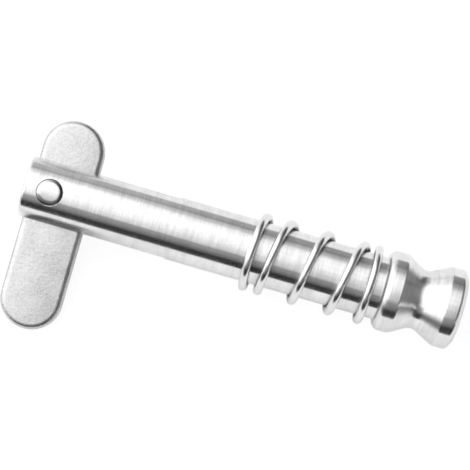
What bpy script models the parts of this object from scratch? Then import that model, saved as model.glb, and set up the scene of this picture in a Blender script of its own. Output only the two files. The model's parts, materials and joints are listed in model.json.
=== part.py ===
"""Quick release pin with a drop cam and a spring, lying on its side.

The pin lies along X with its head towards +X, and the centre of the head's flat end is the origin.
It is rolled about X so that it rests on its collar, its head and the long tip of its cam.
Lengths are in metres.
"""

import math

import bmesh
import bpy
from mathutils import Matrix, Vector

MM = 0.001

# Shank and its slot
SHANK_DIAMETER = 6.35 * MM
SHANK_LENGTH = 36.66 * MM
NOSE_EDGE_RADIUS = 0.3 * MM
SLOT_LENGTH = 15.2 * MM
CAM_SIDE_CLEARANCE = 0.15 * MM

# Head, from the collar to the flat end
COLLAR_DIAMETER = 8.15 * MM
COLLAR_EDGE_RADIUS = 0.8 * MM
COLLAR_WIDTH = 1.81 * MM
COLLAR_CONE_LENGTH = 2.09 * MM
NECK_VERTEX_DIAMETER = 5.65 * MM
NECK_FILLET = 1.2 * MM
HEAD_CONE_LENGTH = 2.47 * MM
HEAD_DIAMETER = 8.15 * MM
HEAD_WIDTH = 1.78 * MM
HEAD_BEVEL_LENGTH = 0.45 * MM
HEAD_BEVEL_DEPTH = 0.8 * MM
HEAD_EDGE_RADIUS = 0.4 * MM
SHOULDER_FILLET = 0.3 * MM

# Drop cam, a round-ended tab that turns on the rivet
PIVOT_FROM_NOSE = 2.7 * MM
CAM_LONG_SIDE = 13.7 * MM
CAM_SHORT_SIDE = 7.6 * MM
CAM_WIDTH = 6.25 * MM
CAM_OFFSET_TO_HEAD = 0.9 * MM
CAM_THICKNESS = 1.5 * MM
CAM_EDGE_RADIUS = 0.6 * MM
CAM_HOLE_CLEARANCE = 0.05 * MM

# Rivet, polished off level with the shank at both ends
RIVET_DIAMETER = 2.58 * MM
RIVET_SEAT_CLEARANCE = 0.03 * MM
RIVET_BEVEL_WIDTH = 0.34 * MM
RIVET_BEVEL_DEPTH = 0.08 * MM
RIVET_HOLE_CHAMFER = 0.03 * MM

# Spring, a left-hand coil round the shank
WIRE_DIAMETER = 0.85 * MM
SPRING_BORE_CLEARANCE = 0.05 * MM
SPRING_SEAT_CLEARANCE = 0.03 * MM
SPRING_FREE_LENGTH = 13.92 * MM
SPRING_LEAN = 0.4 * MM
SPRING_START_TURN = 0.64
SPRING_END_TURN = 5.78

# The wire's way along the pin in each half turn from the collar, from its upper side down.
# The first number counts wire diameters, and the second is a share of the open length.
# The wire starts in the second half turn, so the first one is empty.
SPRING_HALF_TURNS = (
    (0.0, 0.00),
    (1.0, 0.30),
    (0.0, 0.08),
    (1.0, 0.42),
    (0.5, 1.45),
    (0.5, 1.50),
    (0.5, 1.40),
    (0.5, 1.55),
    (0.5, 1.15),
    (0.5, 0.58),
    (0.5, 0.05),
    (0.5, 0.00),
)

# Facets, and the angle from which an edge is sharp
BODY_SEGMENTS = 48
RIVET_SEGMENTS = 24
CAM_END_SEGMENTS = 20
WIRE_SIDES = 10
SPRING_STEPS_PER_TURN = 30
SHARP_ANGLE = math.radians(32)

# Values that follow from the sizes above
SHANK_RADIUS = SHANK_DIAMETER / 2
COLLAR_RADIUS = COLLAR_DIAMETER / 2
HEAD_RADIUS = HEAD_DIAMETER / 2
HEAD_LENGTH = COLLAR_WIDTH + COLLAR_CONE_LENGTH + HEAD_CONE_LENGTH + HEAD_WIDTH
COLLAR_FACE_X = -HEAD_LENGTH
NOSE_X = COLLAR_FACE_X - SHANK_LENGTH
PIVOT_X = NOSE_X + PIVOT_FROM_NOSE
SLOT_WIDTH = CAM_THICKNESS + 2 * CAM_SIDE_CLEARANCE
CAM_END_RADIUS = CAM_WIDTH / 2
RIVET_RADIUS = RIVET_DIAMETER / 2
WIRE_RADIUS = WIRE_DIAMETER / 2
COIL_RADIUS = SHANK_RADIUS + SPRING_BORE_CLEARANCE + WIRE_RADIUS
REST_RADIUS = max(COLLAR_RADIUS, HEAD_RADIUS)


def rest_roll():
    """The roll about X at which the cam's long tip reaches down as far as the collar and head do."""
    reach = CAM_LONG_SIDE - CAM_EDGE_RADIUS
    half_flat = CAM_THICKNESS / 2 - CAM_EDGE_RADIUS
    drop = REST_RADIUS - CAM_EDGE_RADIUS
    return math.asin(drop / math.hypot(reach, half_flat)) - math.atan2(half_flat, reach)


def clear_scene():
    for obj in list(bpy.data.objects):
        bpy.data.objects.remove(obj, do_unlink=True)


def steel(name, color, roughness):
    material = bpy.data.materials.new(name)
    material.use_nodes = True
    shader = material.node_tree.nodes["Principled BSDF"]
    shader.inputs["Base Color"].default_value = (*color, 1.0)
    shader.inputs["Metallic"].default_value = 1.0
    shader.inputs["Roughness"].default_value = roughness
    return material


def add_object(name, bm, material=None, parent=None):
    """Makes an object of bm with its faces outward and its round faces shaded smooth."""
    bmesh.ops.recalc_face_normals(bm, faces=bm.faces)
    mesh = bpy.data.meshes.new(name)
    bm.to_mesh(mesh)
    bm.free()
    mesh.shade_smooth()
    mesh.set_sharp_from_angle(angle=SHARP_ANGLE)
    if material:
        mesh.materials.append(material)
    obj = bpy.data.objects.new(name, mesh)
    bpy.context.scene.collection.objects.link(obj)
    obj.parent = parent
    return obj


def add_cutter(name, bm, body, parent):
    """Makes a hidden helper of bm and cuts it out of body."""
    cutter = add_object(name, bm, parent=parent)
    cutter.display_type = "WIRE"
    cutter.hide_render = True
    cut = body.modifiers.new(name, "BOOLEAN")
    cut.operation = "DIFFERENCE"
    cut.solver = "EXACT"
    cut.object = cutter
    return cutter


def skin_rings(bm, rings):
    """Joins rings of points with four-sided faces. The first and last ring get a flat face each."""
    verts = [[bm.verts.new(point) for point in ring] for ring in rings]
    for near, far in zip(verts, verts[1:]):
        count = len(near)
        for i in range(count):
            j = (i + 1) % count
            bm.faces.new((near[i], near[j], far[j], far[i]))
    bm.faces.new(verts[0][::-1])
    bm.faces.new(verts[-1])


def rounded(corners, steps_per_right_angle=8):
    """Points along a profile of (x, r, fillet radius) corners, with each corner rounded by its radius."""
    points = []
    last = len(corners) - 1
    for i, (x, r, fillet) in enumerate(corners):
        here = Vector((x, r))
        if i in (0, last) or fillet == 0:
            points.append(here)
            continue
        to_before = (Vector(corners[i - 1][:2]) - here).normalized()
        to_after = (Vector(corners[i + 1][:2]) - here).normalized()
        turn = math.pi - to_before.angle(to_after)
        tangent = fillet * math.tan(turn / 2)
        middle = (to_before + to_after).normalized()
        centre = here + middle * (fillet / math.cos(turn / 2))
        start = here + to_before * tangent - centre
        end = here + to_after * tangent - centre
        bend = math.copysign(turn, start.x * end.y - start.y * end.x)
        steps = max(2, round(turn / (math.pi / 2) * steps_per_right_angle))
        for k in range(steps + 1):
            points.append(centre + Matrix.Rotation(bend * k / steps, 2) @ start)
    return points


def body_profile():
    """The turned outline of the pin from its nose to its head, as (x, r) points."""
    collar_end = COLLAR_FACE_X + COLLAR_WIDTH
    neck = collar_end + COLLAR_CONE_LENGTH
    head_start = neck + HEAD_CONE_LENGTH
    return rounded(
        (
            (NOSE_X, SHANK_RADIUS / 2, 0),
            (NOSE_X, SHANK_RADIUS, NOSE_EDGE_RADIUS),
            (COLLAR_FACE_X, SHANK_RADIUS, 0),
            (COLLAR_FACE_X, COLLAR_RADIUS, COLLAR_EDGE_RADIUS),
            (collar_end, COLLAR_RADIUS, SHOULDER_FILLET),
            (neck, NECK_VERTEX_DIAMETER / 2, NECK_FILLET),
            (head_start, HEAD_RADIUS, SHOULDER_FILLET),
            (-HEAD_BEVEL_LENGTH, HEAD_RADIUS, HEAD_EDGE_RADIUS),
            (0, HEAD_RADIUS - HEAD_BEVEL_DEPTH, HEAD_EDGE_RADIUS),
            (0, HEAD_RADIUS / 2, 0),
        )
    )


def turned(profile, segments):
    """A solid of revolution about X."""
    bm = bmesh.new()
    rings = []
    for x, r in profile:
        ring = []
        for i in range(segments):
            angle = 2 * math.pi * i / segments
            ring.append((x, r * math.cos(angle), r * math.sin(angle)))
        rings.append(ring)
    skin_rings(bm, rings)
    return bm


def rivet_ring(radius, depth):
    """A ring about the pivot that follows the upper ear's round surface, at a depth below it."""
    ring = []
    for i in range(RIVET_SEGMENTS):
        angle = 2 * math.pi * i / RIVET_SEGMENTS
        x = radius * math.cos(angle)
        y = radius * math.sin(angle)
        surface = math.sqrt(SHANK_RADIUS**2 - y**2)
        ring.append((x, y, surface - depth))
    return ring


def mirrored(rings):
    """The rings of the upper half, turned into those of the lower half."""
    return [[(x, y, -z) for x, y, z in ring] for ring in reversed(rings)]


def rivet_shape():
    """The rivet, with both ends rounded to the shank and a shallow bevel round each."""
    face = RIVET_RADIUS - RIVET_BEVEL_WIDTH
    end = [rivet_ring(face * share, 0) for share in (1 / 3, 2 / 3, 1)]
    end.append(rivet_ring(RIVET_RADIUS, RIVET_BEVEL_DEPTH))
    bm = bmesh.new()
    skin_rings(bm, end + mirrored(end))
    return bm


def rivet_hole_shape():
    """What the drill and the countersink take out of both ears."""
    hole = RIVET_RADIUS + RIVET_SEAT_CLEARANCE
    above = 0.1 * MM
    beyond = 1 * MM
    mouth = rivet_ring(hole + RIVET_HOLE_CHAMFER + above, -above)
    half = [
        [(x, y, SHANK_RADIUS + beyond) for x, y, z in mouth],
        mouth,
        rivet_ring(hole, RIVET_HOLE_CHAMFER),
    ]
    bm = bmesh.new()
    skin_rings(bm, half + mirrored(half))
    return bm


def slot_shape():
    """The slot through the nose, as a block that stands out past it."""
    beyond = 2 * MM
    length = SLOT_LENGTH + beyond
    bm = bmesh.new()
    size = Matrix.Diagonal((length, SHANK_DIAMETER + beyond, SLOT_WIDTH, 1))
    middle = Matrix.Translation((NOSE_X + SLOT_LENGTH - length / 2, 0, 0))
    bmesh.ops.create_cube(bm, size=1, matrix=middle @ size)
    return bm


def cam_outline(inset, z):
    """The cam's round-ended outline about its pivot, moved in by inset. Its long side is towards -Y."""
    radius = CAM_END_RADIUS - inset
    ends = ((CAM_SHORT_SIDE - CAM_END_RADIUS, 0), (CAM_END_RADIUS - CAM_LONG_SIDE, math.pi))
    ring = []
    for centre_y, start in ends:
        for i in range(CAM_END_SEGMENTS + 1):
            angle = start + math.pi * i / CAM_END_SEGMENTS
            x = CAM_OFFSET_TO_HEAD + radius * math.cos(angle)
            ring.append((x, centre_y + radius * math.sin(angle), z))
    return ring


def cam_shape():
    """The cam, stamped from strip with its edges tumbled round."""
    steps = 4
    half_flat = CAM_THICKNESS / 2 - CAM_EDGE_RADIUS
    upper = []
    for i in range(steps + 1):
        angle = math.pi / 2 * i / steps
        inset = CAM_EDGE_RADIUS * (1 - math.cos(angle))
        upper.append((inset, half_flat + CAM_EDGE_RADIUS * math.sin(angle)))
    levels = [(inset, -z) for inset, z in reversed(upper)] + upper
    bm = bmesh.new()
    skin_rings(bm, [cam_outline(inset, z) for inset, z in levels])
    return bm


def cam_hole_shape():
    """The cam's pivot hole, as a drill that stands out on both sides."""
    bm = bmesh.new()
    bmesh.ops.create_cone(
        bm,
        cap_ends=True,
        segments=RIVET_SEGMENTS,
        radius1=RIVET_RADIUS + CAM_HOLE_CLEARANCE,
        radius2=RIVET_RADIUS + CAM_HOLE_CLEARANCE,
        depth=CAM_THICKNESS * 2,
    )
    return bm


def along_spring(turn):
    """The wire diameters and the open length passed by a turn, before the bends are eased."""
    closed = 0.0
    opened = 0.0
    for i, (wires, gap) in enumerate(SPRING_HALF_TURNS):
        share = min(max(2 * turn - i, 0.0), 1.0)
        closed += share * wires
        opened += share * gap
    return closed, opened


def lean(turn):
    """How far the open coils lean towards the nose on their upper side, and towards the head below."""
    share = min(max(turn - 1, 0.0), 1.0)
    eased = share * share * (3 - 2 * share)
    return SPRING_LEAN * eased * math.sin(2 * math.pi * turn)


def spring_seat_x():
    """The end of the coil that rests on the collar's rounded edge."""
    rise = max(COIL_RADIUS - COLLAR_RADIUS + COLLAR_EDGE_RADIUS, 0)
    apart = COLLAR_EDGE_RADIUS + SPRING_SEAT_CLEARANCE + WIRE_RADIUS
    return COLLAR_FACE_X + COLLAR_EDGE_RADIUS - math.sqrt(apart**2 - rise**2) + WIRE_RADIUS


def wire_x(turn):
    """The wire's place along the pin at a turn, with its changes of pitch eased."""
    ease = 0.1
    samples = 5
    closed = 0.0
    opened = 0.0
    for k in range(samples):
        near = turn + ease * (2 * k / (samples - 1) - 1)
        near = min(max(near, SPRING_START_TURN), SPRING_END_TURN)
        wires, gap = along_spring(near)
        closed += wires / samples
        opened += gap / samples
    start_closed, start_opened = along_spring(SPRING_START_TURN)
    end_closed, end_opened = along_spring(SPRING_END_TURN)
    open_length = SPRING_FREE_LENGTH - WIRE_DIAMETER * (1 + end_closed - start_closed)
    opened_share = (opened - start_opened) / (end_opened - start_opened)
    closed_x = spring_seat_x() - WIRE_RADIUS - WIRE_DIAMETER * (closed - start_closed)
    return closed_x - open_length * opened_share - lean(turn)


def spring_shape():
    """The coil, a round wire swept along a left-hand helix from the collar towards the nose."""
    count = round((SPRING_END_TURN - SPRING_START_TURN) * SPRING_STEPS_PER_TURN)
    rings = []
    for i in range(count + 1):
        turn = SPRING_START_TURN + (SPRING_END_TURN - SPRING_START_TURN) * i / count
        angle = 2 * math.pi * turn
        outward = Vector((0, math.cos(angle), math.sin(angle)))
        around = Vector((0, -math.sin(angle), math.cos(angle)))
        step = 0.01
        rise = (wire_x(turn + step) - wire_x(turn - step)) / (2 * step)
        forward = (around * 2 * math.pi * COIL_RADIUS + Vector((rise, 0, 0))).normalized()
        across = forward.cross(outward).normalized()
        centre = Vector((wire_x(turn), 0, 0)) + outward * COIL_RADIUS
        ring = []
        for k in range(WIRE_SIDES):
            side = 2 * math.pi * k / WIRE_SIDES
            ring.append(centre + (outward * math.cos(side) + across * math.sin(side)) * WIRE_RADIUS)
        rings.append(ring)
    bm = bmesh.new()
    skin_rings(bm, rings)
    return bm


def build():
    clear_scene()
    polished = steel("polished_steel", (0.80, 0.80, 0.81), 0.18)
    tumbled = steel("tumbled_steel", (0.74, 0.74, 0.75), 0.38)
    rivet_steel = steel("rivet_steel", (0.80, 0.80, 0.80), 0.25)
    spring_steel = steel("spring_steel", (0.82, 0.82, 0.83), 0.15)

    lie = bpy.data.objects.new("lie", None)
    bpy.context.scene.collection.objects.link(lie)
    lie.rotation_euler = (rest_roll(), 0, 0)
    pivot = bpy.data.objects.new("pivot", None)
    bpy.context.scene.collection.objects.link(pivot)
    pivot.parent = lie
    pivot.location = (PIVOT_X, 0, 0)

    body = add_object("pin_body", turned(body_profile(), BODY_SEGMENTS), polished, lie)
    add_cutter("slot_cutter", slot_shape(), body, lie)
    add_cutter("rivet_hole_cutter", rivet_hole_shape(), body, pivot)

    cam = add_object("drop_cam", cam_shape(), tumbled, pivot)
    add_cutter("cam_hole_cutter", cam_hole_shape(), cam, pivot)

    add_object("rivet", rivet_shape(), rivet_steel, pivot)
    add_object("spring", spring_shape(), spring_steel, lie)
    bpy.context.view_layer.update()


build()
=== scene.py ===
"""The looks of a quick release pin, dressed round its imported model.

Lengths are in metres, in the part's own frame: X runs along the pin from its nose to its head, and
the centre of the head's flat end is the origin. Shapes are first made in the pin's own directions,
with Z square to the cam, and are then rolled about X to the way the pin lies.
"""

import json
import math

import bmesh
import bpy
import numpy as np
from mathutils import Matrix, Vector

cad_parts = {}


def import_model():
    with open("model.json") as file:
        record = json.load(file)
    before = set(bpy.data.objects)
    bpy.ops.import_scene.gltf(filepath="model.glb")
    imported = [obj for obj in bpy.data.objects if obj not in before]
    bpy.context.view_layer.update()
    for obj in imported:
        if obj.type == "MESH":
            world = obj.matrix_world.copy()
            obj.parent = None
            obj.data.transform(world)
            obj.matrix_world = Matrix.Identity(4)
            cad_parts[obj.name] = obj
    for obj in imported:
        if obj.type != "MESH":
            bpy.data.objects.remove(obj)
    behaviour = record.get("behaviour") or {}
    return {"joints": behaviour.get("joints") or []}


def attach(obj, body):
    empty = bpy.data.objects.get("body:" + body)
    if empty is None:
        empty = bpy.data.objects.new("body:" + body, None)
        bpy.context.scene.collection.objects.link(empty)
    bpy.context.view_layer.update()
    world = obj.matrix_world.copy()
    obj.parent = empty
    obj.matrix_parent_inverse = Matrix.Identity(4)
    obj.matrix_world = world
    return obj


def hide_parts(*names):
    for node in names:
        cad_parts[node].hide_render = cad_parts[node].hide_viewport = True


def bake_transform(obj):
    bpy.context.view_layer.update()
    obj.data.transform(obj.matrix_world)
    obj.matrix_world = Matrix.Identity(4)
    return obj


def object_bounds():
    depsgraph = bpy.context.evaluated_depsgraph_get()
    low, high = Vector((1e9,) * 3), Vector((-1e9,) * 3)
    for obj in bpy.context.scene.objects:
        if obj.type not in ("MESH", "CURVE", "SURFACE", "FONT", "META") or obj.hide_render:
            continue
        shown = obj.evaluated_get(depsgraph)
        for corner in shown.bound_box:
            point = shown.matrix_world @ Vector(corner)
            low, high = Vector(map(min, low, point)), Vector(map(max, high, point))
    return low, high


MM = 0.001
IMAGE_SIZE = 470

# Shank, slot and nose
SHANK_RADIUS = 3.175 * MM
SHANK_LENGTH = 36.66 * MM
NOSE_EDGE_RADIUS = 0.3 * MM
SLOT_LENGTH = 15.2 * MM
SLOT_WIDTH = 1.8 * MM
SLOT_EDGE_BREAK = 0.05 * MM

# Collar, neck and head
COLLAR_RADIUS = 4.075 * MM
COLLAR_EDGE_RADIUS = 0.8 * MM
COLLAR_WIDTH = 1.81 * MM
COLLAR_CONE_LENGTH = 2.09 * MM
NECK_VERTEX_RADIUS = 2.825 * MM
NECK_FILLET = 1.2 * MM
HEAD_CONE_LENGTH = 2.47 * MM
HEAD_RADIUS = 4.075 * MM
HEAD_WIDTH = 1.78 * MM
HEAD_BEVEL_LENGTH = 0.45 * MM
HEAD_BEVEL_DEPTH = 0.8 * MM
HEAD_EDGE_RADIUS = 0.4 * MM
SHOULDER_FILLET = 0.3 * MM
HEAD_LENGTH = COLLAR_WIDTH + COLLAR_CONE_LENGTH + HEAD_CONE_LENGTH + HEAD_WIDTH
COLLAR_FACE_X = -HEAD_LENGTH
NOSE_X = COLLAR_FACE_X - SHANK_LENGTH

# Cam and rivet
CAM_LONG_SIDE = 13.7 * MM
CAM_SHORT_SIDE = 7.6 * MM
CAM_END_RADIUS = 3.125 * MM
CAM_OFFSET_TO_HEAD = 0.9 * MM
CAM_THICKNESS = 1.5 * MM
CAM_EDGE_RADIUS = 0.6 * MM
CAM_HOLE_RADIUS = 1.34 * MM
RIVET_RADIUS = 1.29 * MM
RIVET_HOLE_RADIUS = 1.32 * MM
RIVET_BEVEL_WIDTH = 0.34 * MM
RIVET_BEVEL_DEPTH = 0.08 * MM
RIVET_HOLE_CHAMFER = 0.03 * MM

# Spring
WIRE_RADIUS = 0.425 * MM
COIL_RADIUS = 3.65 * MM
SPRING_SEAT_CLEARANCE = 0.03 * MM
SPRING_FREE_LENGTH = 13.92 * MM
SPRING_LEAN = 0.4 * MM
SPRING_START_TURN = 0.64
SPRING_END_TURN = 5.78

# The wire's way along the pin in each half turn from the collar.
# The first number counts wire diameters, and the second is a share of the open length.
# The wire starts in the second half turn, so the first one is empty.
SPRING_HALF_TURNS = (
    (0.0, 0.00),
    (1.0, 0.30),
    (0.0, 0.08),
    (1.0, 0.42),
    (0.5, 1.45),
    (0.5, 1.50),
    (0.5, 1.40),
    (0.5, 1.55),
    (0.5, 1.15),
    (0.5, 0.58),
    (0.5, 0.05),
    (0.5, 0.00),
)

# Facets
TURNED_SEGMENTS = 192
PROFILE_STEPS = 24
CAM_END_SEGMENTS = 72
CAM_EDGE_STEPS = 8
RIVET_SEGMENTS = 96
RIVET_FACE_RINGS = 8
END_FACE_SHARE = 0.25
WIRE_SIDES = 32
SPRING_STEPS_PER_TURN = 96
SHARP_ANGLE = math.radians(32)

# Camera, in the pin's own directions: where it stands, and how far the pin slopes in the picture
CAMERA_X = -23.53 * MM
CAMERA_Y = 1.06 * MM
CAMERA_HEIGHT = 180 * MM
PICTURE_SLOPE = math.radians(16.15)
PIXELS_PER_MM_AT_AXIS = 10.05
SENSOR_WIDTH = 36.0
CLIP_START = 0.01
CLIP_END = 10

# Floor: its size, and how grey and how bright it is for each kind of ray
FLOOR_HALF_SIZE = 0.6
FLOOR_FRONT_EDGE = 0.09
FLOOR_GREY = 0.9
FLOOR_GLOW = 0.9
FLOOR_SHADOW_SHARE = 0.2
FLOOR_GLOW_IN_STEEL = 0.12
FLOOR_GREY_IN_STEEL = 1.0

# Marks on the steel. A scale counts a noise's waves in a metre, and a depth is that of the bump.
FINE_TURNING_SCALES = (9000, 350)
WIDE_TURNING_SCALES = (1500, 250)
TURNING_DEPTH = 0.007 * MM
PATCH_SCALES = (800, 800, 800)
RUB_MARK_SCALES = (90, 3200, 3200)
FINE_MOTTLE_SCALES = (4200, 4200, 4200)
WIDE_MOTTLE_SCALES = (450, 450, 450)
MOTTLE_DEPTH = 0.03 * MM
SCRATCH_SCALES = (900, 6500, 6500)
SCRATCH_DEPTH = 0.009 * MM
BELT_MARK_SCALES = (1200, 7000, 1200)
BELT_MARK_DEPTH = 0.003 * MM
WIRE_LINES_AROUND = 6
WIRE_LINES_ALONG = 400
WIRE_LINE_DEPTH = 0.002 * MM

# How grey and how rough each steel is, from the lows to the highs of its marks
TURNED_GREY = (0.92, 0.66)
TURNED_ROUGHNESS = (0.17, 0.27)
TURNED_ANISOTROPY = 0.97
PATCH_GREY = (0.95, 1.07)
RUB_MARK_GREY = (0.96, 1.05)
# The slot's walls are darkened with painted shade, and are rougher from milling.
SLOT_SHADE_GREY = 0.35
SLOT_EXTRA_ROUGHNESS = 0.25
CAM_GREY = (0.46, 0.80)
CAM_ROUGHNESS = (0.24, 0.38)
RIVET_GREY = (0.60, 0.72)
RIVET_ROUGHNESS = (0.10, 0.20)
WIRE_GREY = (0.76, 0.88)
WIRE_ROUGHNESS = (0.14, 0.26)

# Painted shade: the wire darkens inwards from its middle, towards the shank, and is darkest at this
# share of its radius.
INNER_WIRE_SHADE_SHARE = 0.6
INNER_WIRE_SHADE_GREY = 0.08

# Painted shade on the rivet's bevel, for the shadow in the gap round it. It starts and is full at
# these shares of the width from the rim.
RIVET_SHADE_START_SHARE = 0.9
RIVET_SHADE_FULL_SHARE = 0.7

# The painted shade thickens in this direction, towards the head, from one share of the rivet's radius
# to another.
RIVET_SHADE_DIRECTION = (0.9, 0.45, 0)
RIVET_SHADE_SIDES = (-0.5, 0.6)
RIVET_SHADE_COVER = (0.1, 0.95)


def load_frame():
    """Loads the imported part, and reads its roll about X from the cam's hinge."""
    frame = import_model()
    hinges = [joint for joint in frame["joints"] if joint["name"] == "cam_swing"]
    axis = Vector(hinges[0]["axis"])
    roll = math.atan2(axis.y, -axis.z)
    pivot_x = hinges[0]["pos_m"][0]
    return Matrix.Rotation(roll, 4, "X"), pivot_x


# Camera and stage


def add_camera(lie):
    camera = bpy.data.objects.new("camera", bpy.data.cameras.new("camera"))
    bpy.context.scene.collection.objects.link(camera)
    focal_pixels = PIXELS_PER_MM_AT_AXIS * CAMERA_HEIGHT / MM
    camera.data.sensor_width = SENSOR_WIDTH
    camera.data.lens = focal_pixels / IMAGE_SIZE * SENSOR_WIDTH
    camera.data.clip_start = CLIP_START
    camera.data.clip_end = CLIP_END
    place = Matrix.Translation((CAMERA_X, CAMERA_Y, CAMERA_HEIGHT))
    camera.matrix_world = lie @ place @ Matrix.Rotation(PICTURE_SLOPE, 4, "Z")
    bpy.context.scene.camera = camera


def add_node(tree, kind, **settings):
    """A node of a shader or geometry tree, with its settings."""
    node = tree.nodes.new(kind)
    for name, value in settings.items():
        setattr(node, name, value)
    return node


def feed(tree, socket, value):
    """Links an output socket to an input socket, or sets a plain value on it."""
    if isinstance(value, bpy.types.NodeSocket):
        tree.links.new(value, socket)
    else:
        socket.default_value = value


def math_node(tree, operation, *values):
    """A math node on sockets or numbers. Gives its output socket."""
    node = add_node(tree, "ShaderNodeMath", operation=operation)
    for socket, value in zip(node.inputs, values):
        feed(tree, socket, value)
    return node.outputs[0]


def vector_node(tree, operation, *values):
    """A vector math node on sockets or vectors. Gives its output socket."""
    node = add_node(tree, "ShaderNodeVectorMath", operation=operation)
    for socket, value in zip(node.inputs, values):
        feed(tree, socket, value)
    gives_number = operation in ("DOT_PRODUCT", "LENGTH")
    return node.outputs["Value" if gives_number else "Vector"]


def spread_node(tree, value, before, after=(0, 1)):
    """Spreads the range before of a value socket over the range after. Gives its output socket."""
    node = add_node(tree, "ShaderNodeMapRange")
    tree.links.new(value, node.inputs["Value"])
    node.inputs["From Min"].default_value = before[0]
    node.inputs["From Max"].default_value = before[1]
    node.inputs["To Min"].default_value = after[0]
    node.inputs["To Max"].default_value = after[1]
    return node.outputs["Result"]


def ramp_node(tree, factor, stops):
    """A colour ramp through (place, grey) stops. Gives its colour socket."""
    node = add_node(tree, "ShaderNodeValToRGB")
    elements = node.color_ramp.elements
    while len(elements) < len(stops):
        elements.new(0.5)
    for element, (place, grey) in zip(elements, stops):
        element.position = place
        element.color = (grey, grey, grey, 1)
    tree.links.new(factor, node.inputs["Fac"])
    return node.outputs["Color"]


def mix_node(tree, factor, first, second):
    """A colour mix of two sockets. Gives its output socket."""
    node = add_node(tree, "ShaderNodeMix", data_type="RGBA")
    inputs = {socket.name: socket for socket in node.inputs if socket.enabled}
    outputs = {socket.name: socket for socket in node.outputs if socket.enabled}
    tree.links.new(factor, inputs["Factor"])
    tree.links.new(first, inputs["A"])
    tree.links.new(second, inputs["B"])
    return outputs["Result"]


# The studio round the pin. Each row is for one direction from the left to the right, in degrees.
# Its stops are (degrees from straight up, brightness), with positive degrees towards the viewer.
# White panels fill the left side and hang overhead, and the room is dark to the right.
# The stops are set and tuned in renders until the steel shows the photograph's bands.
STUDIO = (
    (
        -75,
        (
            (-180, 0.95),
            (180, 0.95),
        ),
    ),
    (
        -46,
        (
            (-180, 0.80),
            (-96, 0.80),
            (-84, 1.00),
            (56, 1.00),
            (66, 0.50),
            (76, 0.12),
            (96, 0.10),
            (104, 0.40),
            (180, 0.60),
        ),
    ),
    (
        -22,
        (
            (-180, 0.70),
            (-98, 0.70),
            (-92, 0.45),
            (-72, 0.40),
            (-62, 0.30),
            (-52, 0.75),
            (-40, 1.00),
            (32, 1.00),
            (40, 0.60),
            (44, 0.24),
            (60, 0.20),
            (67, 0.03),
            (96, 0.01),
            (104, 0.20),
            (180, 0.60),
        ),
    ),
    (
        -7,
        (
            (-180, 0.60),
            (-98, 0.60),
            (-92, 0.40),
            (-70, 0.36),
            (-66, 0.26),
            (-63, 0.26),
            (-58, 0.54),
            (-49, 0.56),
            (-38, 0.94),
            (0, 1.00),
            (16, 0.92),
            (26, 0.68),
            (40, 0.56),
            (46, 0.18),
            (58, 0.14),
            (65, 0.12),
            (69, 0.05),
            (73, 0.01),
            (96, 0.01),
            (104, 0.20),
            (180, 0.60),
        ),
    ),
    (
        9,
        (
            (-180, 0.50),
            (-98, 0.50),
            (-92, 0.05),
            (-60, 0.04),
            (-52, 0.05),
            (-44, 0.13),
            (-38, 0.29),
            (-30, 0.52),
            (-14, 0.60),
            (-2, 0.50),
            (8, 0.36),
            (18, 0.26),
            (36, 0.24),
            (44, 0.18),
            (62, 0.14),
            (68, 0.08),
            (73, 0.02),
            (96, 0.01),
            (104, 0.20),
            (180, 0.50),
        ),
    ),
    (
        18,
        (
            (-180, 0.50),
            (-98, 0.50),
            (-92, 0.05),
            (-60, 0.05),
            (-46, 0.15),
            (-28, 0.46),
            (-14, 0.60),
            (0, 0.50),
            (14, 0.32),
            (28, 0.14),
            (60, 0.06),
            (67, 0.01),
            (96, 0.01),
            (104, 0.20),
            (180, 0.50),
        ),
    ),
    (
        30,
        (
            (-180, 0.50),
            (-98, 0.50),
            (-92, 0.04),
            (-40, 0.04),
            (-16, 0.06),
            (0, 0.03),
            (40, 0.03),
            (67, 0.02),
            (96, 0.02),
            (104, 0.20),
            (180, 0.50),
        ),
    ),
    (
        50,
        (
            (-180, 0.50),
            (-98, 0.50),
            (-92, 0.06),
            (-74, 0.04),
            (-66, 0.08),
            (-60, 0.34),
            (-54, 0.06),
            (-45, 0.04),
            (-34, 0.13),
            (10, 0.12),
            (46, 0.10),
            (51, 0.04),
            (55, 0.90),
            (60, 0.90),
            (64, 0.03),
            (72, 0.06),
            (80, 0.14),
            (96, 0.14),
            (104, 0.20),
            (180, 0.50),
        ),
    ),
)
STUDIO_STRENGTH = 1.7


def studio_stops(stops):
    """Stops in degrees, turned into places of 0 to 1 along a colour ramp."""
    return [((degrees + 180) / 360, grey) for degrees, grey in stops]


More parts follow.
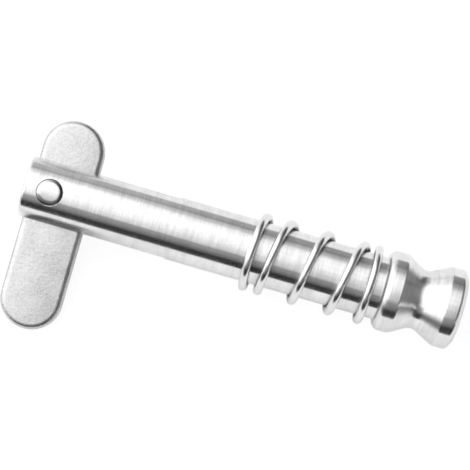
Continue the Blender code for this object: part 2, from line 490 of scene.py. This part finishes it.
def light_studio():
    """The studio as the steel sees it. The camera sees white behind the pin."""
    world = bpy.data.worlds.new("studio")
    bpy.context.scene.world = world
    world.use_nodes = True
    tree = world.node_tree
    tree.nodes.clear()
    place = add_node(tree, "ShaderNodeTexCoord")
    split = add_node(tree, "ShaderNodeSeparateXYZ")
    tree.links.new(place.outputs["Generated"], split.inputs[0])
    towards_viewer = math_node(tree, "MULTIPLY", split.outputs["Y"], -1)
    tilt = math_node(tree, "ARCTAN2", towards_viewer, split.outputs["Z"])
    turn = math_node(tree, "ADD", math_node(tree, "DIVIDE", tilt, 2 * math.pi), 0.5)
    sideways = math_node(tree, "ARCSINE", split.outputs["X"])

    room = ramp_node(tree, turn, studio_stops(STUDIO[0][1]))
    for (start, _), (full, stops) in zip(STUDIO, STUDIO[1:]):
        share = spread_node(tree, sideways, (math.radians(start), math.radians(full)))
        next_ramp = ramp_node(tree, turn, studio_stops(stops))
        room = mix_node(tree, share, room, next_ramp)

    lit = add_node(tree, "ShaderNodeBackground")
    tree.links.new(room, lit.inputs["Color"])
    lit.inputs["Strength"].default_value = STUDIO_STRENGTH
    white = add_node(tree, "ShaderNodeBackground")
    white.inputs["Color"].default_value = (1, 1, 1, 1)
    path = add_node(tree, "ShaderNodeLightPath")
    seen = add_node(tree, "ShaderNodeMixShader")
    output = add_node(tree, "ShaderNodeOutputWorld")
    tree.links.new(path.outputs["Is Camera Ray"], seen.inputs[0])
    tree.links.new(lit.outputs[0], seen.inputs[1])
    tree.links.new(white.outputs[0], seen.inputs[2])
    tree.links.new(seen.outputs[0], output.inputs["Surface"])


def floor_material():
    """White paper that keeps the pin's shadow, and looks white to the camera and in the steel."""
    material = bpy.data.materials.new("white_paper")
    material.use_nodes = True
    tree = material.node_tree
    tree.nodes.clear()

    def lit_paper(grey, glow):
        shaded = add_node(tree, "ShaderNodeBsdfDiffuse")
        shaded.inputs["Color"].default_value = (grey, grey, grey, 1)
        light = add_node(tree, "ShaderNodeEmission")
        light.inputs["Strength"].default_value = glow
        both = add_node(tree, "ShaderNodeAddShader")
        tree.links.new(shaded.outputs[0], both.inputs[0])
        tree.links.new(light.outputs[0], both.inputs[1])
        return both.outputs[0]

    path = add_node(tree, "ShaderNodeLightPath")
    shown = lit_paper(FLOOR_GREY, 0)
    for ray, grey, glow in (
        ("Is Glossy Ray", FLOOR_GREY_IN_STEEL, FLOOR_GLOW_IN_STEEL),
        ("Is Camera Ray", FLOOR_SHADOW_SHARE, FLOOR_GLOW),
    ):
        chosen = add_node(tree, "ShaderNodeMixShader")
        tree.links.new(path.outputs[ray], chosen.inputs[0])
        tree.links.new(shown, chosen.inputs[1])
        tree.links.new(lit_paper(grey, glow), chosen.inputs[2])
        shown = chosen.outputs[0]
    output = add_node(tree, "ShaderNodeOutputMaterial")
    tree.links.new(shown, output.inputs["Surface"])
    return material


def add_floor(height):
    bm = bmesh.new()
    bmesh.ops.create_grid(bm, x_segments=1, y_segments=1, size=FLOOR_HALF_SIZE)
    middle = (CAMERA_X, FLOOR_HALF_SIZE - FLOOR_FRONT_EDGE, height)
    bmesh.ops.translate(bm, verts=bm.verts, vec=middle)
    mesh = bpy.data.meshes.new("floor")
    bm.to_mesh(mesh)
    bm.free()
    mesh.materials.append(floor_material())
    floor = bpy.data.objects.new("floor", mesh)
    bpy.context.scene.collection.objects.link(floor)


# Steel finishes


def steel_material(name):
    """A bare steel material. Gives the material, its tree and its shader."""
    material = bpy.data.materials.new(name)
    material.use_nodes = True
    tree = material.node_tree
    shader = tree.nodes["Principled BSDF"]
    shader.inputs["Metallic"].default_value = 1
    return material, tree, shader


def noise_node(tree, vector, detail=3):
    """A grey noise of 0 to 1 over a vector socket. Gives its output socket."""
    node = add_node(tree, "ShaderNodeTexNoise")
    node.inputs["Scale"].default_value = 1
    node.inputs["Detail"].default_value = detail
    tree.links.new(vector, node.inputs["Vector"])
    return node.outputs[0]


def noise_range(tree, noise, after):
    """Spreads the middle half of a noise over a range. Gives its output socket."""
    return spread_node(tree, noise, (0.25, 0.75), after)


def bump_node(tree, height, distance, below=None):
    """A bump of a height socket, on top of the bump below it. Gives its normal socket."""
    node = add_node(tree, "ShaderNodeBump")
    node.inputs["Strength"].default_value = 1
    node.inputs["Distance"].default_value = distance
    tree.links.new(height, node.inputs["Height"])
    if below:
        tree.links.new(below, node.inputs["Normal"])
    return node.outputs[0]


def object_place(tree):
    """The socket of the Object coordinates."""
    return add_node(tree, "ShaderNodeTexCoord").outputs["Object"]


def split_place(tree):
    """The sockets of the three Object coordinates."""
    split = add_node(tree, "ShaderNodeSeparateXYZ")
    tree.links.new(object_place(tree), split.inputs[0])
    return split.outputs


def scaled_place(tree, scales):
    """Object coordinates times a scale for each axis. Gives their vector socket."""
    return vector_node(tree, "MULTIPLY", object_place(tree), scales)


def scaled_vector(tree, *axes):
    """A vector of a (value socket, scale) pair for each axis. Gives its vector socket."""
    node = add_node(tree, "ShaderNodeCombineXYZ")
    for socket, (value, scale) in zip(node.inputs, axes):
        tree.links.new(math_node(tree, "MULTIPLY", value, scale), socket)
    return node.outputs[0]


def distance_from_pin_axis(tree):
    _, y, z = split_place(tree)
    y_squared = math_node(tree, "MULTIPLY", y, y)
    z_squared = math_node(tree, "MULTIPLY", z, z)
    return math_node(tree, "SQRT", math_node(tree, "ADD", y_squared, z_squared))


def turning_lines(tree, scales):
    """Noise coordinates that run fast along the profile of a turned part, and slowly round it."""
    along_profile, around = scales
    x, y, z = split_place(tree)
    profile = math_node(tree, "ADD", x, distance_from_pin_axis(tree))
    return scaled_vector(tree, (profile, along_profile), (y, around), (z, around))


def square_to_cam(lie):
    """The direction of the rivet, which is square to the cam and to the slot's walls."""
    return lie.to_3x3() @ Vector((0, 0, 1))


def slot_share(tree, lie):
    """One on the slot's walls, and zero on the rest of the pin. Gives its output socket."""
    height = vector_node(tree, "DOT_PRODUCT", object_place(tree), square_to_cam(lie))
    distance = math_node(tree, "ABSOLUTE", height)
    x = split_place(tree)["X"]
    near = 0.01 * MM
    between = math_node(tree, "LESS_THAN", distance, SLOT_WIDTH / 2 + near)
    inside = math_node(tree, "LESS_THAN", x, NOSE_X + SLOT_LENGTH + near)
    return math_node(tree, "MULTIPLY", between, inside)


def turned_steel(lie):
    """Bright steel with turning lines round it, duller patches and rub marks along it.

    The walls of its milled slot are rougher, and darker with painted shade for the shade inside the
    slot.
    """
    material, tree, shader = steel_material("turned_steel")
    shader.inputs["Anisotropic"].default_value = TURNED_ANISOTROPY
    shader.inputs["Anisotropic Rotation"].default_value = 0.25
    tangent = add_node(tree, "ShaderNodeTangent", direction_type="RADIAL", axis="X")
    tree.links.new(tangent.outputs[0], shader.inputs["Tangent"])
    fine = noise_node(tree, turning_lines(tree, FINE_TURNING_SCALES))
    wide = noise_node(tree, turning_lines(tree, WIDE_TURNING_SCALES), detail=4)
    patches = noise_node(tree, scaled_place(tree, PATCH_SCALES))
    rubbed = noise_node(tree, scaled_place(tree, RUB_MARK_SCALES))
    lines = math_node(tree, "MULTIPLY", math_node(tree, "ADD", fine, wide), 0.5)
    # The slot's walls: rougher from milling, and darkened with painted shade.
    slot_walls = slot_share(tree, lie)
    turned_roughness = noise_range(tree, lines, TURNED_ROUGHNESS)
    roughness = math_node(tree, "MULTIPLY_ADD", slot_walls, SLOT_EXTRA_ROUGHNESS, turned_roughness)
    tree.links.new(roughness, shader.inputs["Roughness"])
    grey = noise_range(tree, lines, TURNED_GREY)
    for share in (
        noise_range(tree, patches, PATCH_GREY),
        noise_range(tree, rubbed, RUB_MARK_GREY),
        math_node(tree, "MULTIPLY_ADD", slot_walls, SLOT_SHADE_GREY - 1, 1),
    ):
        grey = math_node(tree, "MULTIPLY", grey, share)
    tree.links.new(grey, shader.inputs["Base Color"])
    tree.links.new(bump_node(tree, lines, TURNING_DEPTH), shader.inputs["Normal"])
    return material


def tumbled_steel():
    """Satin steel, tumbled soft, with a fine mottle and a few faint scratches."""
    material, tree, shader = steel_material("tumbled_cam_steel")
    fine = noise_node(tree, scaled_place(tree, FINE_MOTTLE_SCALES))
    wide = noise_node(tree, scaled_place(tree, WIDE_MOTTLE_SCALES), detail=5)
    scratches = noise_node(tree, scaled_place(tree, SCRATCH_SCALES), detail=2)
    mottle = math_node(tree, "MULTIPLY", math_node(tree, "ADD", fine, wide), 0.5)
    tree.links.new(noise_range(tree, mottle, CAM_GREY), shader.inputs["Base Color"])
    tree.links.new(noise_range(tree, wide, CAM_ROUGHNESS), shader.inputs["Roughness"])
    soft = bump_node(tree, mottle, MOTTLE_DEPTH)
    tree.links.new(bump_node(tree, scratches, SCRATCH_DEPTH, soft), shader.inputs["Normal"])
    return material


def rivet_painted_shade(tree, lie, pivot_x):
    """How much painted shade darkens the rivet's bevel, none on its face. Gives its output socket."""
    from_pivot = vector_node(tree, "SUBTRACT", object_place(tree), (pivot_x, 0, 0))
    across = vector_node(tree, "CROSS_PRODUCT", from_pivot, square_to_cam(lie))
    radius = vector_node(tree, "LENGTH", across)
    start_radius = RIVET_RADIUS - RIVET_SHADE_START_SHARE * RIVET_BEVEL_WIDTH
    full_radius = RIVET_RADIUS - RIVET_SHADE_FULL_SHARE * RIVET_BEVEL_WIDTH
    on_bevel = spread_node(tree, radius, (start_radius, full_radius))
    side = vector_node(tree, "DOT_PRODUCT", from_pivot, RIVET_SHADE_DIRECTION)
    bright_side, dark_side = [share * RIVET_RADIUS for share in RIVET_SHADE_SIDES]
    cover = spread_node(tree, side, (bright_side, dark_side), RIVET_SHADE_COVER)
    return math_node(tree, "MULTIPLY", on_bevel, cover)


def rivet_steel(lie, pivot_x):
    """Steel polished off level with the shank. Its bevel is darkened with painted shade, most on the
    head's side.
    """
    material, tree, shader = steel_material("dressed_rivet_steel")
    marks = noise_node(tree, scaled_place(tree, BELT_MARK_SCALES))
    # Painted shade on the bevel darkens the steel's grey.
    unshaded = math_node(tree, "SUBTRACT", 1, rivet_painted_shade(tree, lie, pivot_x))
    grey = math_node(tree, "MULTIPLY", noise_range(tree, marks, RIVET_GREY), unshaded)
    tree.links.new(grey, shader.inputs["Base Color"])
    tree.links.new(noise_range(tree, marks, RIVET_ROUGHNESS), shader.inputs["Roughness"])
    tree.links.new(bump_node(tree, marks, BELT_MARK_DEPTH), shader.inputs["Normal"])
    return material


def wire_steel():
    """Bright drawn wire, with fine lines along it. Its inner side is darkened with painted shade, for
    the gap between it and the shank.
    """
    material, tree, shader = steel_material("drawn_wire_steel")
    around = add_node(tree, "ShaderNodeAttribute", attribute_name="around")
    along = add_node(tree, "ShaderNodeAttribute", attribute_name="along")
    angle = math_node(tree, "MULTIPLY", around.outputs["Fac"], 2 * math.pi)
    lines = scaled_vector(
        tree,
        (math_node(tree, "COSINE", angle), WIRE_LINES_AROUND),
        (math_node(tree, "SINE", angle), WIRE_LINES_AROUND),
        (along.outputs["Fac"], WIRE_LINES_ALONG),
    )
    drawn = noise_node(tree, lines)
    # Painted shade on the wire's inner side, which faces the shank.
    radius = distance_from_pin_axis(tree)
    inner_radius = COIL_RADIUS - INNER_WIRE_SHADE_SHARE * WIRE_RADIUS
    inner_shade = spread_node(tree, radius, (COIL_RADIUS, inner_radius), (1, INNER_WIRE_SHADE_GREY))
    grey = math_node(tree, "MULTIPLY", noise_range(tree, drawn, WIRE_GREY), inner_shade)
    tree.links.new(grey, shader.inputs["Base Color"])
    tree.links.new(noise_range(tree, drawn, WIRE_ROUGHNESS), shader.inputs["Roughness"])
    tree.links.new(bump_node(tree, drawn, WIRE_LINE_DEPTH), shader.inputs["Normal"])
    return material


# Shapes


def skin_rings(bm, rings):
    """Joins rings of points with four-sided faces. The first and last ring get a flat face each."""
    verts = [[bm.verts.new(point) for point in ring] for ring in rings]
    for near, far in zip(verts, verts[1:]):
        count = len(near)
        for i in range(count):
            j = (i + 1) % count
            bm.faces.new((near[i], near[j], far[j], far[i]))
    bm.faces.new(verts[0][::-1])
    bm.faces.new(verts[-1])


def rounded(corners):
    """Points along a profile of (x, r, fillet radius) corners, with each corner rounded."""
    points = []
    last = len(corners) - 1
    for i, (x, r, fillet) in enumerate(corners):
        here = Vector((x, r))
        if i in (0, last) or fillet == 0:
            points.append(here)
            continue
        to_before = (Vector(corners[i - 1][:2]) - here).normalized()
        to_after = (Vector(corners[i + 1][:2]) - here).normalized()
        turn = math.pi - to_before.angle(to_after)
        tangent = fillet * math.tan(turn / 2)
        middle = (to_before + to_after).normalized()
        centre = here + middle * (fillet / math.cos(turn / 2))
        start = here + to_before * tangent - centre
        end = here + to_after * tangent - centre
        bend = math.copysign(turn, start.x * end.y - start.y * end.x)
        steps = max(4, round(turn / (math.pi / 2) * PROFILE_STEPS))
        for k in range(steps + 1):
            points.append(centre + Matrix.Rotation(bend * k / steps, 2) @ start)
    return points


def make_object(name, bm, material):
    """An object of bm with its faces outward and smooth."""
    bmesh.ops.recalc_face_normals(bm, faces=bm.faces)
    mesh = bpy.data.meshes.new(name)
    bm.to_mesh(mesh)
    bm.free()
    mesh.materials.append(material)
    mesh.shade_smooth()
    obj = bpy.data.objects.new(name, mesh)
    bpy.context.scene.collection.objects.link(obj)
    return obj


def applied(obj):
    """Puts the result of the object's modifiers into its own mesh, and removes the modifiers."""
    bpy.context.view_layer.update()
    depsgraph = bpy.context.evaluated_depsgraph_get()
    mesh = bpy.data.meshes.new_from_object(obj.evaluated_get(depsgraph))
    mesh.name = obj.name
    obj.modifiers.clear()
    obj.data = mesh


def cut(obj, bm):
    """Cuts the shape in bm out of obj."""
    mesh = bpy.data.meshes.new("cutter")
    bmesh.ops.recalc_face_normals(bm, faces=bm.faces)
    bm.to_mesh(mesh)
    bm.free()
    cutter = bpy.data.objects.new("cutter", mesh)
    bpy.context.scene.collection.objects.link(cutter)
    boolean = obj.modifiers.new("cut", "BOOLEAN")
    boolean.operation = "DIFFERENCE"
    boolean.solver = "EXACT"
    boolean.object = cutter
    applied(obj)
    bpy.data.objects.remove(cutter)
    bpy.data.meshes.remove(mesh)


def body_profile():
    """The turned outline of the pin from its nose to its head, as (x, r) points."""
    collar_end = COLLAR_FACE_X + COLLAR_WIDTH
    neck = collar_end + COLLAR_CONE_LENGTH
    head_start = neck + HEAD_CONE_LENGTH
    return rounded(
        (
            (NOSE_X, SHANK_RADIUS * END_FACE_SHARE, 0),
            (NOSE_X, SHANK_RADIUS, NOSE_EDGE_RADIUS),
            (COLLAR_FACE_X, SHANK_RADIUS, 0),
            (COLLAR_FACE_X, COLLAR_RADIUS, COLLAR_EDGE_RADIUS),
            (collar_end, COLLAR_RADIUS, SHOULDER_FILLET),
            (neck, NECK_VERTEX_RADIUS, NECK_FILLET),
            (head_start, HEAD_RADIUS, SHOULDER_FILLET),
            (-HEAD_BEVEL_LENGTH, HEAD_RADIUS, HEAD_EDGE_RADIUS),
            (0, HEAD_RADIUS - HEAD_BEVEL_DEPTH, HEAD_EDGE_RADIUS),
            (0, HEAD_RADIUS * END_FACE_SHARE, 0),
        )
    )


def turned(profile):
    bm = bmesh.new()
    rings = []
    for x, r in profile:
        ring = []
        for i in range(TURNED_SEGMENTS):
            angle = 2 * math.pi * i / TURNED_SEGMENTS
            ring.append((x, r * math.cos(angle), r * math.sin(angle)))
        rings.append(ring)
    skin_rings(bm, rings)
    return bm


def slot_shape():
    """The slot through the nose, as a block that stands out past it."""
    beyond = 2 * MM
    length = SLOT_LENGTH + beyond
    bm = bmesh.new()
    size = Matrix.Diagonal((length, 2 * SHANK_RADIUS + beyond, SLOT_WIDTH, 1))
    middle = Matrix.Translation((NOSE_X + SLOT_LENGTH - length / 2, 0, 0))
    bmesh.ops.create_cube(bm, size=1, matrix=middle @ size)
    return bm


def rivet_ring(pivot_x, radius, depth):
    """A ring about the pivot that follows the upper ear's round surface, at a depth below it."""
    ring = []
    for i in range(RIVET_SEGMENTS):
        angle = 2 * math.pi * i / RIVET_SEGMENTS
        y = radius * math.sin(angle)
        surface = math.sqrt(SHANK_RADIUS**2 - y**2)
        ring.append((pivot_x + radius * math.cos(angle), y, surface - depth))
    return ring


def mirrored(rings):
    """The rings of the upper half, turned into those of the lower half."""
    return [[(x, y, -z) for x, y, z in ring] for ring in reversed(rings)]


def rivet_hole_shape(pivot_x):
    above = 0.1 * MM
    beyond = 1 * MM
    mouth = rivet_ring(pivot_x, RIVET_HOLE_RADIUS + RIVET_HOLE_CHAMFER + above, -above)
    half = [
        [(x, y, SHANK_RADIUS + beyond) for x, y, _ in mouth],
        mouth,
        rivet_ring(pivot_x, RIVET_HOLE_RADIUS, RIVET_HOLE_CHAMFER),
    ]
    bm = bmesh.new()
    skin_rings(bm, half + mirrored(half))
    return bm


def mark_slot_edges(mesh):
    """Weighs the edges where the slot comes out through the round of the shank, for the bevel."""
    bm = bmesh.new()
    bm.from_mesh(mesh)
    layer = bm.edges.layers.float.new("bevel_weight_edge")
    slot_end = NOSE_X + SLOT_LENGTH
    near = 0.001 * MM
    for edge in bm.edges:
        on_wall = all(abs(abs(v.co.z) - SLOT_WIDTH / 2) < near for v in edge.verts)
        in_slot = all(v.co.x < slot_end + near for v in edge.verts)
        if on_wall and in_slot and edge.calc_face_angle(0) > SHARP_ANGLE:
            edge[layer] = 1
    bm.to_mesh(mesh)
    bm.free()


def make_pin(lie, pivot_x, material):
    """The turned pin with its slot and its rivet hole, with the slot's edges broken."""
    pin = make_object("turned_pin", turned(body_profile()), material)
    cut(pin, slot_shape())
    mark_slot_edges(pin.data)
    bevel = pin.modifiers.new("edge_break", "BEVEL")
    bevel.limit_method = "WEIGHT"
    bevel.width = SLOT_EDGE_BREAK
    bevel.segments = 3
    applied(pin)
    cut(pin, rivet_hole_shape(pivot_x))
    finish_piece(pin, lie, "pin", "pin_body")


def finish_piece(obj, lie, body, node):
    """Rolls a piece to the way the pin lies, marks its sharp edges and puts it in its node's place."""
    obj.data.transform(lie)
    obj.data.set_sharp_from_angle(angle=SHARP_ANGLE)
    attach(obj, body)
    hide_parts(node)


def cam_outline(pivot_x, inset, z):
    """The cam's round-ended outline, moved in by inset. Its long side is towards -Y."""
    radius = CAM_END_RADIUS - inset
    ends = ((CAM_SHORT_SIDE - CAM_END_RADIUS, 0), (CAM_END_RADIUS - CAM_LONG_SIDE, math.pi))
    ring = []
    for centre_y, start in ends:
        for i in range(CAM_END_SEGMENTS + 1):
            angle = start + math.pi * i / CAM_END_SEGMENTS
            x = pivot_x + CAM_OFFSET_TO_HEAD + radius * math.cos(angle)
            ring.append((x, centre_y + radius * math.sin(angle), z))
    return ring


def make_cam(lie, pivot_x, material):
    half_flat = CAM_THICKNESS / 2 - CAM_EDGE_RADIUS
    upper = []
    for i in range(CAM_EDGE_STEPS + 1):
        angle = math.pi / 2 * i / CAM_EDGE_STEPS
        inset = CAM_EDGE_RADIUS * (1 - math.cos(angle))
        upper.append((inset, half_flat + CAM_EDGE_RADIUS * math.sin(angle)))
    levels = [(inset, -z) for inset, z in reversed(upper)] + upper
    bm = bmesh.new()
    skin_rings(bm, [cam_outline(pivot_x, inset, z) for inset, z in levels])
    cam = make_object("tumbled_cam", bm, material)
    drill = bmesh.new()
    bmesh.ops.create_cone(
        drill,
        cap_ends=True,
        segments=RIVET_SEGMENTS,
        radius1=CAM_HOLE_RADIUS,
        radius2=CAM_HOLE_RADIUS,
        depth=CAM_THICKNESS * 2,
        matrix=Matrix.Translation((pivot_x, 0, 0)),
    )
    cut(cam, drill)
    finish_piece(cam, lie, "cam", "drop_cam")


def make_rivet(lie, pivot_x, material):
    face_radius = RIVET_RADIUS - RIVET_BEVEL_WIDTH
    end = []
    for i in range(RIVET_FACE_RINGS):
        end.append(rivet_ring(pivot_x, face_radius * (i + 1) / RIVET_FACE_RINGS, 0))
    end.append(rivet_ring(pivot_x, RIVET_RADIUS, RIVET_BEVEL_DEPTH))
    bm = bmesh.new()
    skin_rings(bm, end + mirrored(end))
    rivet = make_object("dressed_rivet", bm, material)
    finish_piece(rivet, lie, "pin", "rivet")


def along_spring(turn):
    """The wire diameters and the open length passed by a turn, before the bends are eased."""
    closed = 0.0
    opened = 0.0
    for i, (wires, gap) in enumerate(SPRING_HALF_TURNS):
        share = min(max(2 * turn - i, 0.0), 1.0)
        closed += share * wires
        opened += share * gap
    return closed, opened


def eased_along_spring(turn):
    """The same two lengths, with the changes of pitch eased."""
    ease = 0.1
    samples = 5
    closed = 0.0
    opened = 0.0
    for k in range(samples):
        near = turn + ease * (2 * k / (samples - 1) - 1)
        near = min(max(near, SPRING_START_TURN), SPRING_END_TURN)
        wires, gap = along_spring(near)
        closed += wires / samples
        opened += gap / samples
    return closed, opened


def lean(turn):
    """How far the open coils lean: towards the nose on their upper side, to the head below."""
    share = min(max(turn - 1, 0.0), 1.0)
    eased = share * share * (3 - 2 * share)
    return SPRING_LEAN * eased * math.sin(2 * math.pi * turn)


def spring_seat_x():
    """The end of the coil that rests on the collar's rounded edge."""
    rise = max(COIL_RADIUS - COLLAR_RADIUS + COLLAR_EDGE_RADIUS, 0)
    apart = COLLAR_EDGE_RADIUS + SPRING_SEAT_CLEARANCE + WIRE_RADIUS
    return COLLAR_FACE_X + COLLAR_EDGE_RADIUS - math.sqrt(apart**2 - rise**2) + WIRE_RADIUS


def spring_path():
    """The wire's centreline, an edge chain that carries how far each point gives when pressed."""
    count = round((SPRING_END_TURN - SPRING_START_TURN) * SPRING_STEPS_PER_TURN)
    wire = 2 * WIRE_RADIUS
    start_closed, start_opened = along_spring(SPRING_START_TURN)
    end_closed, end_opened = along_spring(SPRING_END_TURN)
    open_length = SPRING_FREE_LENGTH - wire * (1 + end_closed - start_closed)
    seat_x = spring_seat_x()
    points = []
    gives = []
    for i in range(count + 1):
        turn = SPRING_START_TURN + (SPRING_END_TURN - SPRING_START_TURN) * i / count
        closed, opened = eased_along_spring(turn)
        opened_share = (opened - start_opened) / (end_opened - start_opened)
        closed_x = seat_x - WIRE_RADIUS - wire * (closed - start_closed)
        x = closed_x - open_length * opened_share - lean(turn)
        angle = 2 * math.pi * turn
        points.append((x, COIL_RADIUS * math.cos(angle), COIL_RADIUS * math.sin(angle)))
        gives.append(min(max((closed_x - x) / open_length, 0), 1))
    mesh = bpy.data.meshes.new("spring_path")
    mesh.from_pydata(points, [(i, i + 1) for i in range(count)], [])
    give = mesh.attributes.new("give", "FLOAT", "POINT")
    give.data.foreach_set("value", gives)
    path = bpy.data.objects.new("sprung_coil", mesh)
    bpy.context.scene.collection.objects.link(path)
    return path


def wire_tree():
    """A geometry tree that sweeps a round wire along a chain of edges."""
    tree = bpy.data.node_groups.new("wire_along_path", "GeometryNodeTree")
    face = tree.interface
    face.new_socket("Geometry", in_out="INPUT", socket_type="NodeSocketGeometry")
    face.new_socket("Wire Radius", in_out="INPUT", socket_type="NodeSocketFloat")
    face.new_socket("Sides", in_out="INPUT", socket_type="NodeSocketInt")
    face.new_socket("Material", in_out="INPUT", socket_type="NodeSocketMaterial")
    face.new_socket("Geometry", in_out="OUTPUT", socket_type="NodeSocketGeometry")
    given = add_node(tree, "NodeGroupInput")
    curve = add_node(tree, "GeometryNodeMeshToCurve")
    circle = add_node(tree, "GeometryNodeCurvePrimitiveCircle", mode="RADIUS")
    parameter = add_node(tree, "GeometryNodeSplineParameter")
    mark = add_node(tree, "GeometryNodeStoreNamedAttribute", data_type="FLOAT", domain="POINT")
    mark.inputs["Name"].default_value = "around"
    measure = add_node(tree, "GeometryNodeStoreNamedAttribute", data_type="FLOAT", domain="POINT")
    measure.inputs["Name"].default_value = "along"
    sweep = add_node(tree, "GeometryNodeCurveToMesh")
    sweep.inputs["Fill Caps"].default_value = True
    realize = add_node(tree, "GeometryNodeRealizeInstances")
    finish = add_node(tree, "GeometryNodeSetMaterial")
    result = add_node(tree, "NodeGroupOutput")
    tree.links.new(given.outputs["Geometry"], curve.inputs["Mesh"])
    tree.links.new(given.outputs["Sides"], circle.inputs["Resolution"])
    tree.links.new(given.outputs["Wire Radius"], circle.inputs["Radius"])
    tree.links.new(circle.outputs["Curve"], mark.inputs["Geometry"])
    tree.links.new(parameter.outputs["Factor"], mark.inputs["Value"])
    tree.links.new(curve.outputs["Curve"], measure.inputs["Geometry"])
    tree.links.new(parameter.outputs["Factor"], measure.inputs["Value"])
    tree.links.new(measure.outputs["Geometry"], sweep.inputs["Curve"])
    tree.links.new(mark.outputs["Geometry"], sweep.inputs["Profile Curve"])
    tree.links.new(sweep.outputs["Mesh"], realize.inputs["Geometry"])
    tree.links.new(realize.outputs["Geometry"], finish.inputs["Geometry"])
    tree.links.new(given.outputs["Material"], finish.inputs["Material"])
    tree.links.new(finish.outputs["Geometry"], result.inputs["Geometry"])
    return tree


def set_input(modifier, name, value):
    for item in modifier.node_group.interface.items_tree:
        if item.in_out == "INPUT" and item.name == name:
            modifier[item.identifier] = value


def make_spring(lie, material):
    """The coil. Its wire carries a give attribute: the share by which each point would give when the
    spring is pressed.
    """
    spring = spring_path()
    sweep = spring.modifiers.new("wire", "NODES")
    sweep.node_group = wire_tree()
    set_input(sweep, "Wire Radius", WIRE_RADIUS)
    set_input(sweep, "Sides", WIRE_SIDES)
    set_input(sweep, "Material", material)
    applied(spring)
    spring.data.shade_smooth()
    spring.data.transform(lie)
    spring.data.set_sharp_from_angle(angle=SHARP_ANGLE)
    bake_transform(spring)
    gives = np.zeros(len(spring.data.vertices), np.float32)
    spring.data.attributes["give"].data.foreach_get("value", gives)
    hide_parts("spring")


def main():
    lie, pivot_x = load_frame()
    cad_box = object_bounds()
    bpy.context.scene.view_settings.view_transform = "Standard"
    add_camera(lie)
    light_studio()
    add_floor(cad_box[0].z)
    make_pin(lie, pivot_x, turned_steel(lie))
    make_cam(lie, pivot_x, tumbled_steel())
    make_rivet(lie, pivot_x, rivet_steel(lie, pivot_x))
    make_spring(lie, wire_steel())


main()
